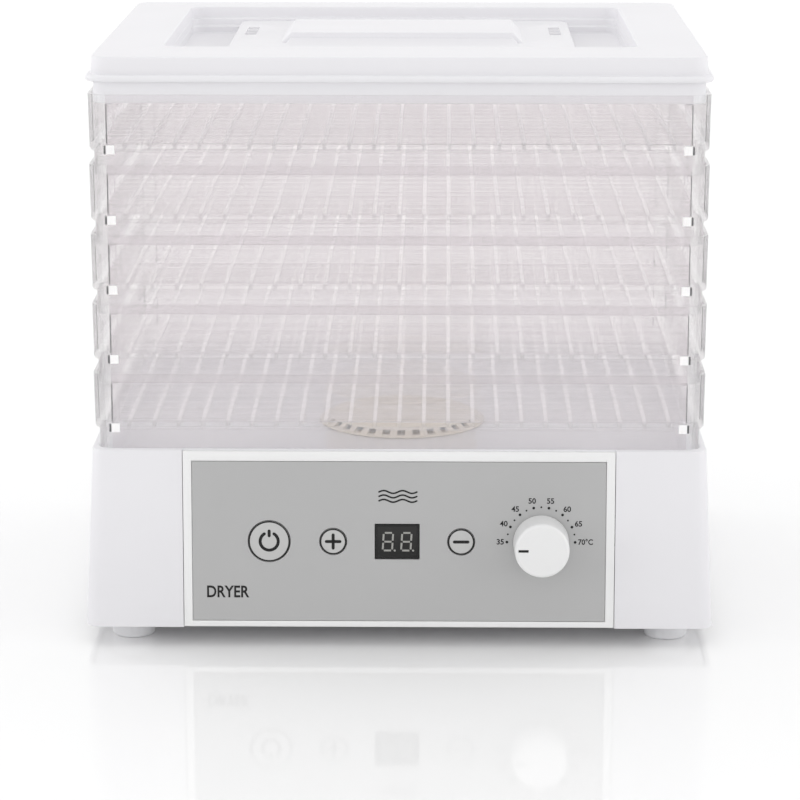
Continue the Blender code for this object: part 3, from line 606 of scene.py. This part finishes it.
base = {
    "wall": 3.0 * mm, "corner": 8.0 * mm, "seatDepth": 2.2 * mm, "basinDepth": 17.0 * mm,
    "deck": 2.5 * mm, "rimWidth": 6.8 * mm, "outlet": 43.0 * mm, "topHalf": (163 * mm, 140 * mm),
    "bezelHalf": 114.5 * mm, "bezelThick": 3.0 * mm, "gap": 0.35 * mm, "glandHole": 5.8 * mm,
    "seatGap": 0.3 * mm, "cutReach": 20 * mm,
}


def buildHousing(spec):
    low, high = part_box("base_housing")
    bottomHalf = ((high.x - low.x) / 2, (high.y - low.y) / 2)
    topHalf = spec["topHalf"]
    top, bottom = high.z, low.z
    shape = bmesh.new()

    def outline(z, inset, radius):
        share = (z - bottom) / (top - bottom)
        half = [bottomHalf[i] + (topHalf[i] - bottomHalf[i]) * share for i in range(2)]
        return ring(shape, half[0] - inset, half[1] - inset, radius, z, (0, middleY))

    def inner(half, inset, radius, z):
        return ring(shape, half[0] - inset, half[1] - inset, radius, z, (0, middleY))

    wall, corner = spec["wall"], spec["corner"]
    seatHalf = [half - tray["skirtInset"] + spec["seatGap"] for half in trayHalf]
    basinHalf = [half - spec["rimWidth"] for half in topHalf]
    seat, deck = top - spec["seatDepth"], top - spec["basinDepth"]
    start = outline(bottom, wall - 0.4 * mm, corner - wall)
    loops = [start, outline(bottom, 0.8 * mm, corner - 0.8 * mm),
             outline(bottom + 0.2 * mm, 0.2 * mm, corner),
             outline(bottom + 0.9 * mm, 0, corner), outline(top - 1.0 * mm, 0, corner),
             outline(top - 0.3 * mm, 0.25 * mm, corner), outline(top, 0.9 * mm, corner - 0.6 * mm)]
    for half, inset, radius, z in ((seatHalf, -0.5, 8.2, top), (seatHalf, 0, 7.8, top - 0.5 * mm),
                                   (seatHalf, 0, 7.8, seat), (basinHalf, -0.5, 12, seat),
                                   (basinHalf, 0, 12, seat - 0.5 * mm), (basinHalf, 1.5, 12, deck + 3 * mm),
                                   (basinHalf, 2.4, 12, deck + 1 * mm), (basinHalf, 4.5, 11, deck)):
        loops.append(inner(half, inset * mm, radius * mm, z))
    skin(shape, loops)
    shape.faces.new(loops[-1])
    under = [start, outline(deck - spec["deck"], wall, corner - wall)]
    skin(shape, under)
    shape.faces.new(under[-1])
    housing = fromBmesh("baseHousing", shape)

    reach = spec["cutReach"]

    def hole(radius, matrix):
        return lathe("hole", [(0, reach), (radius, reach), (radius, -reach), (0, -reach)], matrix)

    edge = spec["bezelHalf"] + spec["gap"]
    pocket = boxObject("pocket", (-edge, -reach, -3 * reach), (edge, spec["bezelThick"], 3 * reach),
                       panelMatrix)
    glandLow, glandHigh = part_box("cord_gland")
    glandSpot = Vector(((glandLow.x + glandHigh.x) / 2, high.y, (glandLow.z + glandHigh.z) / 2))
    carve(housing, [hole(spec["outlet"], Matrix.Translation((0, middleY, deck))), pocket,
                    hole(spec["glandHole"], Matrix.Translation(glandSpot) @ outwards)])
    softenEdges(housing, 0.35 * mm)
    finishPiece(housing, whiteAbs, "base", "white_abs", "base_housing")
    print("housing built,", len(housing.data.polygons), "faces")


grille = {
    "flange": 1.0 * mm, "wallFoot": 45.0 * mm, "wallTop": 41.5 * mm, "plate": 1.1 * mm,
    "slots": 32, "slotWidth": 4.4 * mm, "slotLow": 1.0 * mm, "slotInner": 36.0 * mm,
}


# the outlet's raised cap: a flat top on a ring of upright slots that the warm air leaves through
def buildGrille(spec):
    low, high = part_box("outlet_grille")
    radius, height = (high.x - low.x) / 2, high.z - low.z
    foot, shoulder = spec["wallFoot"], spec["wallTop"]
    profile = [(0, height), (shoulder - 0.9 * mm, height), (shoulder, height - 0.5 * mm),
               (foot, spec["flange"] + 0.2 * mm), (radius - 0.4 * mm, spec["flange"]),
               (radius, spec["flange"] - 0.4 * mm), (radius, 0), (foot - 2.0 * mm, 0),
               (shoulder - 1.6 * mm, height - spec["plate"]),
               (0, height - spec["plate"])]
    spot = Matrix.Translation((0, middleY, low.z))
    cap = lathe("outletGrille", profile, spot, 96)
    cuts = bmesh.new()
    half = spec["slotWidth"] / 2
    near = (spec["slotInner"], -half, spec["slotLow"])
    far = (foot + 0.3 * mm, half, height - 0.7 * mm)
    for i in range(spec["slots"]):
        turned = Matrix.Rotation(2 * math.pi * i / spec["slots"], 4, "Z")
        for v in boxMesh(cuts, near, far):
            v.co = turned @ v.co
    carve(cap, [fromBmesh("slots", cuts, spot, False)])
    softenEdges(cap, 0.15 * mm, 1)
    finishPiece(cap, beigeNylon, "base", "beige_nylon", "outlet_grille")


buildHousing(base)
buildGrille(grille)


panel = {
    "filmSize": (219.4 * mm, 86.5 * mm), "film": 0.8 * mm, "filmGap": 0.3 * mm, "filmNear": -0.2 * mm,
    "proud": 0.3 * mm, "ink": 0.03 * mm, "shaftHole": 4 * mm, "keyGap": 0.4 * mm,
    "keyRadius": {"power": 11.0 * mm, "plus": 7.0 * mm, "minus": 7.0 * mm},
    "windowSize": (23.3 * mm, 18.8 * mm), "windowBorder": 1.2 * mm, "paneDepth": 1.6 * mm,
    "digit": (5.0 * mm, 9.6 * mm), "digitX": 4.9 * mm, "segment": 0.95 * mm, "slant": 0.06,
    "segmentGap": 0.6 * mm, "pointGap": 1.4 * mm, "pointRadius": 0.55 * mm,
    "dialRadius": (18.1 * mm, 19.0 * mm), "numberRadius": (22.0 * mm, 22.8 * mm),
    "dots": (0.75 * mm, 0.5 * mm), "numberGap": 1.5 * mm,
    "numberSize": 4.1 * mm, "coldest": 35, "hottest": 70, "degreesStep": 5, "bold": 0.022,
    "wordSize": 8.9 * mm, "wordSpot": (-102.6 * mm, -27.9 * mm), "wordNarrow": 0.83,
    "waveSpot": (-0.5 * mm, 24.6 * mm), "waveSize": (20 * mm, 0.75 * mm), "wavePitch": 2.4 * mm,
    "waveLine": 0.9 * mm, "wavePoints": 33, "powerArc": (122, 418), "powerBar": (3.0 * mm, 5.6 * mm),
    "symbolLine": 1.65 * mm, "ringLine": 0.75 * mm, "powerRadius": 4.8 * mm, "armReach": 3.6 * mm,
}


# a node's place across the panel
def panelX(node):
    low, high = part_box(node)
    return (panelMatrix.inverted() @ ((low + high) / 2)).x


keyX = {name: panelX(name + "_button") for name in panel["keyRadius"]}
displayX = panelX("display_window")
knobX = turn["pos_m"][0]


# panel axes with +Z turned outwards
def onPanel(x=0.0, z=0.0):
    return panelMatrix @ Matrix.Translation((x, z, 0)) @ outwards


# cutters for the keys, the shaft and the window
def panelHoles(spec):
    radii = [(keyX[name], radius + spec["keyGap"]) for name, radius in spec["keyRadius"].items()]
    holes = [lathe("hole", [(0, 10 * mm), (radius, 10 * mm), (radius, -10 * mm), (0, -10 * mm)], onPanel(x))
             for x, radius in radii + [(knobX, spec["shaftHole"])]]
    w, h = [size / 2 + spec["filmGap"] for size in spec["windowSize"]]
    holes.append(boxObject("hole", (displayX - w, -10 * mm, -h), (displayX + w, 10 * mm, h), panelMatrix))
    return holes


def buildBezel(spec):
    low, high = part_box("front_bezel")
    half = (high.x - low.x) / 2
    lowEdge = (low.z - panelOrigin.z) / math.cos(panelTilt) + 0.05 * mm
    highEdge = (high.z - panelOrigin.z) / math.cos(panelTilt) - 0.15 * mm
    filmX, filmZ = [size / 2 for size in spec["filmSize"]]
    gap, near = spec["filmGap"], spec["filmNear"]
    bezel = boxObject("frontBezel", (-half, -spec["proud"], lowEdge),
                      (half, base["bezelThick"] - spec["proud"], highEdge), panelMatrix)
    recess = boxObject("recess", (-filmX - gap, -10 * mm, -filmZ - gap),
                       (filmX + gap, near + 1.1 * mm, filmZ + gap), panelMatrix)
    carve(bezel, [recess] + panelHoles(spec))
    softenEdges(bezel, 0.5 * mm)
    finishPiece(bezel, bezelAbs, "base", "white_abs", "front_bezel")
    film = boxObject("controlFilm", (-filmX, near, -filmZ), (filmX, near + spec["film"], filmZ), panelMatrix)
    carve(film, panelHoles(spec))
    softenEdges(film, 0.12 * mm, 1)
    finishPiece(film, greyFilm, "base", "grey_film", "control_overlay")


# adds flat lettering, in panel axes where X is right and Y is up
def inkText(shape, words, size, x, y, align="CENTER", narrow=1.0):
    curve = bpy.data.curves.new("words", "FONT")
    curve.body = words
    curve.size = size
    curve.align_x = align
    curve.align_y = "CENTER"
    curve.offset = size * panel["bold"]
    curve.resolution_u = 4
    made = bpy.data.objects.new("words", curve)
    bpy.context.scene.collection.objects.link(made)
    bpy.context.view_layer.update()
    flat = bpy.data.meshes.new_from_object(made.evaluated_get(bpy.context.evaluated_depsgraph_get()))
    flat.transform(Matrix.Translation((x, y, 0)) @ Matrix.Diagonal((narrow, 1, 1, 1)))
    shape.from_mesh(flat)
    bpy.data.objects.remove(made)


# a stroke of even width along points
def inkPath(shape, points, width, roundEnds=True):
    half = width / 2
    edge = []
    count = len(points)
    for i, (x, y) in enumerate(points):
        a, b = points[max(i - 1, 0)], points[min(i + 1, count - 1)]
        dx, dy = b[0] - a[0], b[1] - a[1]
        length = math.hypot(dx, dy)
        edge.append((x, y, -dy / length * half, dx / length * half))
    left = [shape.verts.new((x + nx, y + ny, 0)) for x, y, nx, ny in edge]
    right = [shape.verts.new((x - nx, y - ny, 0)) for x, y, nx, ny in edge]
    for i in range(count - 1):
        shape.faces.new((right[i], right[i + 1], left[i + 1], left[i]))
    if not roundEnds:
        return
    for end, sign in ((0, -1), (count - 1, 1)):
        x, y, nx, ny = edge[end]
        start = math.atan2(ny, nx)
        rim = [left[end]]
        for k in range(1, 6):
            angle = start - sign * math.pi * k / 6
            rim.append(shape.verts.new((x + half * math.cos(angle), y + half * math.sin(angle), 0)))
        rim.append(right[end])
        shape.faces.new(rim if sign > 0 else list(reversed(rim)))


def inkDot(shape, x, y, radius):
    bmesh.ops.create_circle(shape, cap_ends=True, segments=20, radius=radius,
                            matrix=Matrix.Translation((x, y, 0)))


# gives flat ink its small thickness and lays it on the panel
def inkPiece(name, shape, material, body, slot, near):
    raised = bmesh.ops.extrude_face_region(shape, geom=list(shape.faces))
    for v in raised["geom"]:
        if isinstance(v, bmesh.types.BMVert):
            v.co.z += panel["ink"]
    piece = fromBmesh(name, shape, onPanel(0, near), smooth=False)
    finishPiece(piece, material, body, slot)


# a point of the dial's scale: share 0 is the coldest on the left, 1 the hottest on the right
def dialPoint(radii, share):
    angle = math.pi * (1 - share)
    return knobX + radii[0] * math.cos(angle), radii[1] * math.sin(angle)


def buildPrint(spec):
    shape = bmesh.new()
    marks = (spec["hottest"] - spec["coldest"]) // spec["degreesStep"]
    size, gap = spec["numberSize"], spec["numberGap"]
    for step in range(marks + 1):
        number = str(spec["coldest"] + spec["degreesStep"] * step)
        x, y = dialPoint(spec["dialRadius"], step / marks)
        inkDot(shape, x, y, spec["dots"][0])
        if step == 0:
            inkText(shape, number, size, x - gap, 0, "RIGHT")
        elif step == marks:
            inkText(shape, number + "°C", size, x + gap, 0, "LEFT", 0.93)
        else:
            inkText(shape, number, size, *dialPoint(spec["numberRadius"], step / marks))
        if step < marks:
            inkDot(shape, *dialPoint(spec["dialRadius"], (step + 0.5) / marks), spec["dots"][1])
    length, height = spec["waveSize"]
    for row in (-1, 0, 1):  # warm air, as three waves
        x, y = spec["waveSpot"]
        level = y + row * spec["wavePitch"]
        last = spec["wavePoints"] - 1
        points = [(x + (i / last - 0.5) * length, level + height * math.sin(i / 8 * math.pi))
                  for i in range(last + 1)]
        inkPath(shape, points, spec["waveLine"])
    inkText(shape, "DRYER", spec["wordSize"], *spec["wordSpot"], "LEFT", spec["wordNarrow"])
    inkPiece("panelPrint", shape, blackInk, "base", "black_abs", spec["filmNear"])


key = {"near": -0.4 * mm, "bend": 0.35 * mm, "flange": -3.0 * mm, "flangeOut": 1.2 * mm, "stem": 2.2 * mm,
       "stemEnd": -6.2 * mm}


def circle(x, y, radius, start=0, end=360, count=72):
    angles = [math.radians(start + (end - start) * i / count) for i in range(count + 1)]
    return [(x + radius * math.cos(a), y + radius * math.sin(a)) for a in angles]


def buildKey(name, radius, spec):
    x, line = keyX[name], panel["symbolLine"]
    face, flange, outer = -spec["near"], spec["flange"], radius + spec["flangeOut"]
    profile = [(0, face)] + arc((radius - spec["bend"], face - spec["bend"]), spec["bend"], 90, 0, 3)
    profile += [(radius, flange), (outer, flange), (outer, flange - spec["flangeOut"]),
                (spec["stem"], flange - spec["flangeOut"]), (spec["stem"], spec["stemEnd"]),
                (0, spec["stemEnd"])]
    cap = lathe(name + "Key", profile, onPanel(x))
    finishPiece(cap, keyFilm, name + "_key", "grey_film", name + "_button")
    shape = bmesh.new()
    ringLine = panel["ringLine"]
    inkPath(shape, circle(x, 0, radius - ringLine / 2), ringLine, roundEnds=False)
    if name == "power":
        inkPath(shape, circle(x, 0, panel["powerRadius"], *panel["powerArc"]), line)
        inkPath(shape, [(x, y) for y in panel["powerBar"]], line)
    else:
        arm = panel["armReach"]
        inkPath(shape, [(x - arm, 0), (x + arm, 0)], line)
        if name == "plus":
            for side in (-1, 1):
                inkPath(shape, [(x, side * line / 2), (x, side * arm)], line)
    inkPiece(name + "Symbol", shape, blackInk, name + "_key", "black_abs", spec["near"])


# the smoked pane, its black border and two unlit seven-segment digits
def buildDisplay(spec):
    w, h = [size / 2 for size in spec["windowSize"]]
    near = spec["filmNear"]
    pane = boxObject("displayPane", (displayX - w, near, -h), (displayX + w, spec["paneDepth"], h),
                     panelMatrix)
    softenEdges(pane, 0.25 * mm)
    finishPiece(pane, smokedPane, "base", "smoked_window", "display_window")
    border = bmesh.new()
    line = spec["windowBorder"]
    outer, inner = [[border.verts.new((displayX + sx * (w - cut), sy * (h - cut), 0))
                     for sx, sy in ((1, 1), (-1, 1), (-1, -1), (1, -1))] for cut in (0.25 * mm, line)]
    skin(border, [inner, outer])
    inkPiece("displayBorder", border, blackInk, "base", "smoked_window", near)
    shape = bmesh.new()
    halfW, halfH = [size / 2 for size in spec["digit"]]
    gap = spec["segmentGap"]

    def lean(centre, x, y):
        return centre + x + spec["slant"] * y, y

    for centre in (displayX - spec["digitX"], displayX + spec["digitX"]):
        strokes = [((gap - halfW, y), (halfW - gap, y)) for y in (-halfH, 0, halfH)]
        strokes += [((x, gap), (x, halfH - gap)) for x in (-halfW, halfW)]
        strokes += [((x, gap - halfH), (x, -gap)) for x in (-halfW, halfW)]
        for start, end in strokes:
            inkPath(shape, [lean(centre, *start), lean(centre, *end)], spec["segment"], roundEnds=False)
        inkDot(shape, *lean(centre, halfW + spec["pointGap"], -halfH), spec["pointRadius"])
    inkPiece("displaySegments", shape, unlitSegment, "base", "smoked_window", near)


knob = {
    "radius": 14.4 * mm, "length": 21.35 * mm, "edge": 1.8 * mm, "skirt": 0.4 * mm, "bore": 3.3 * mm,
    "boreDepth": 6 * mm, "foot": 0.8 * mm, "markX": 9.8 * mm, "markHalf": (2.62 * mm, 0.62 * mm),
    "markDepth": 0.8 * mm,
}


def buildKnob(spec):
    radius, length, edge, foot = spec["radius"], spec["length"], spec["edge"], spec["foot"]
    profile = [(0, length - 0.1 * mm)] + arc((radius - edge, length - edge), edge, 90, 0, 7)
    profile += [(radius + spec["skirt"], foot + 0.3 * mm), (radius, foot), (spec["bore"], foot),
                (spec["bore"], length - spec["boreDepth"]), (0, length - spec["boreDepth"])]
    cap = lathe("temperatureKnob", profile, onPanel(knobX), 96)
    markX = knobX - spec["markX"]
    w, h = spec["markHalf"]
    gap = 0.08 * mm
    slot = boxObject("slot", (markX - w - gap, -length - gap, -h - gap),
                     (markX + w + gap, gap - length + spec["markDepth"], h + gap), panelMatrix)
    carve(cap, [slot])
    shadeSmooth(cap.data)
    finishPiece(cap, knobAbs, "temperature_knob", "knob_abs", "temperature_knob")
    mark = boxObject("knobPointer", (markX - w, 0.05 * mm - length, -h),
                     (markX + w, spec["markDepth"] - length, h), panelMatrix)
    softenEdges(mark, 0.12 * mm, 1)
    finishPiece(mark, blackInk, "temperature_knob", "black_abs", "knob_mark")


buildBezel(panel)
buildPrint(panel)
for keyName, keyRadius in panel["keyRadius"].items():
    buildKey(keyName, keyRadius, key)
buildDisplay(panel)
buildKnob(knob)
print("panel built")


foot = {"bend": 1.6 * mm, "bore": 2.3 * mm, "cup": (5.6 * mm, 5.1 * mm, 4.6 * mm), "cupDepth": 6 * mm}


# a turned rubber foot with a cup round its screw
def buildFoot(where, spec):
    low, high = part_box("foot_" + where)
    radius, top, bend = (high.x - low.x) / 2, high.z, spec["bend"]
    mouth, throat, seat = spec["cup"]
    profile = [(spec["bore"], top), (radius - 0.2 * mm, top), (radius, top - 0.4 * mm)]
    profile += arc((radius - bend, bend), bend, 0, -90)
    profile += [(mouth, 0), (throat, 0.5 * mm), (seat, spec["cupDepth"]), (spec["bore"], spec["cupDepth"])]
    spot = Matrix.Translation(((low.x + high.x) / 2, (low.y + high.y) / 2, 0))
    piece = lathe("foot" + where.title().replace("_", ""), profile, spot)
    finishPiece(piece, footRubber, "base", "foot_rubber", "foot_" + where)


for footName in ("front_left", "front_right", "rear_left", "rear_right"):
    buildFoot(footName, foot)
print("feet built")


# the finish of the pieces that keep their CAD shape
finishes = {
    "white_abs": whiteAbs, "clear_polystyrene": wallStyrene, "grey_film": greyFilm, "knob_abs": knobAbs,
    "black_abs": blackAbs, "smoked_window": smokedPane, "beige_nylon": beigeNylon, "zinc_steel": zincSteel,
    "foot_rubber": footRubber,
    "circuit_board": mouldedAbs("solderMaskBoard", "#1E5A33", 0.4, 1 * mm, 0.02 * mm),  # woven, green
    "mica": mouldedAbs("pressedMicaCard", "#B99A68", 0.55, 2 * mm, 0.03 * mm),  # flaky tan card
    "heating_wire": platedSteel("drawnResistanceWire", "#8C8780"),  # dulled by heat
    "capacitor_sleeve": mouldedAbs("shrunkPvcSleeve", "#22242A", 0.3),  # glossy blue-black
}
slots = {part["node"]: part["material_slot"] for part in frame["record"]["subparts"]}
for name, node in frame["nodes"].items():
    node.data.materials.clear()
    node.data.materials.append(finishes[slots[name]])
print("CAD pieces finished")


studio = {
    "floorHalf": 12.0, "frontLevel": 1.29, "backLevel": 1.1, "sideGain": 0.7, "zenithLevel": 0.57,
    "keyPower": 6.0, "keySize": 2.4, "keyPlace": (-0.3, 0.2, 2.3),
    "lens": 138.4, "shift": -0.060, "pitch": 12.49, "yaw": 0.764,
    "eye": (0.0216, -1.5776, 0.5097),  # its Y is counted from the trays' front
    "aimHeight": 0.15, "clip": (0.05, 60), "bounces": 24,
}


# soft boxes all round, as a sky that is brightest in front and at the sides and weakest overhead
def buildSky(spec):
    world = bpy.data.worlds.new("softStudio")
    bpy.context.scene.world = world
    world.use_nodes = True
    sky = world.node_tree
    where = addNode(sky, "ShaderNodeTexCoord")
    parts = addNode(sky, "ShaderNodeSeparateXYZ", None, {0: where.outputs["Generated"]})
    level = addNode(sky, "ShaderNodeMapRange", {"interpolation_type": "SMOOTHSTEP"},
                    {"Value": parts.outputs["Y"], "From Min": 0.5, "From Max": 0.95,
                     "To Min": spec["frontLevel"], "To Max": spec["backLevel"]})
    height = addNode(sky, "ShaderNodeMapRange", None,
                     {"Value": parts.outputs["Z"], "From Min": 0.1, "From Max": 1.0,
                      "To Min": 1.0, "To Max": spec["zenithLevel"]})
    sideways = addNode(sky, "ShaderNodeMath", {"operation": "ABSOLUTE"}, {0: parts.outputs["X"]})
    side = addNode(sky, "ShaderNodeMapRange", {"interpolation_type": "SMOOTHSTEP"},
                   {"Value": sideways.outputs["Value"], "From Min": 0.6, "From Max": 0.95,
                    "To Min": 0.0, "To Max": spec["sideGain"]})
    ringLevel = addNode(sky, "ShaderNodeMath", {"operation": "ADD"},
                        {0: level.outputs["Result"], 1: side.outputs["Result"]})
    strength = addNode(sky, "ShaderNodeMath", {"operation": "MULTIPLY"},
                       {0: ringLevel.outputs["Value"], 1: height.outputs["Result"]})
    sky.links.new(strength.outputs["Value"], sky.nodes["Background"].inputs["Strength"])
    sky.nodes["Background"].inputs["Color"].default_value = srgb("#FFFFFF")


def buildStudio(spec):
    shape = bmesh.new()
    bmesh.ops.create_grid(shape, x_segments=4, y_segments=4, size=spec["floorHalf"])
    floor = fromBmesh("studioFloor", shape, smooth=False)
    floor.data.materials.append(floorPaint)
    buildSky(spec)
    lamp = bpy.data.lights.new("keyPanel", "AREA")
    lamp.shape = "SQUARE"
    lamp.size = spec["keySize"]
    lamp.energy = spec["keyPower"]
    panelLamp = place("keyPanel", lamp)
    panelLamp.location = spec["keyPlace"]
    aim = Vector((0, middleY, spec["aimHeight"])) - panelLamp.location
    panelLamp.rotation_euler = aim.to_track_quat("-Z", "Y").to_euler()
    lens = bpy.data.cameras.new("frontCamera")
    lens.lens = spec["lens"]
    lens.shift_y = spec["shift"]
    lens.clip_start, lens.clip_end = spec["clip"]
    camera = place("frontCamera", lens)
    eyeX, eyeY, eyeZ = spec["eye"]
    camera.location = (eyeX, trayFront + eyeY, eyeZ)
    camera.rotation_euler = (math.radians(90 - spec["pitch"]), 0, math.radians(spec["yaw"]))
    bpy.context.scene.camera = camera


buildStudio(studio)
bpy.context.scene.view_settings.view_transform = "Standard"
for bounces in ("max_bounces", "transmission_bounces", "transparent_max_bounces"):
    setattr(bpy.context.scene.cycles, bounces, studio["bounces"])
print("studio built")
